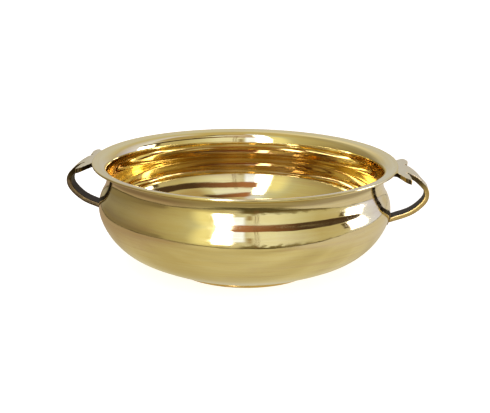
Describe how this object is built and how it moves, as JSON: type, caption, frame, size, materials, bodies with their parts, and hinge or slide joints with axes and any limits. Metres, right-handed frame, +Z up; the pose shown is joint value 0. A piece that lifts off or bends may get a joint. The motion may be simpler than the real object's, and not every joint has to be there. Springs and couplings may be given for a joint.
{
  "type": "brass urli bowl",
  "caption": "Wide shallow polished brass bowl with a flared lip, a hollow neck, a low foot ring and leaf-topped strap handles brazed on opposite sides.",
  "frame": {"origin": "centre of the foot ring's underside, on the bowl's axis, on the surface that the bowl stands on", "axes": "+Z up along the bowl's axis, X through the two handles, +X towards the handle with the longer drop, Y across"},
  "size_m": [0.3043, 0.254, 0.0922],
  "materials": {
    "polished_brass": "mirror polished, with fine turning and buffing lines",
    "foot_brass": "turned and polished, a little worn underneath",
    "handle_brass": "brushed bright on the outer faces, dark brown patina on the inner faces and in the corners",
    "braze": "rough, dark brazing metal"
  },
  "bodies": {
    "root": {"bowl": "polished_brass", "foot_ring": "foot_brass", "handle_right": "handle_brass", "handle_left": "handle_brass", "lip_braze_right": "braze", "lip_braze_left": "braze", "belly_braze_right": "braze", "belly_braze_left": "braze"}
  },
  "joints": []
}
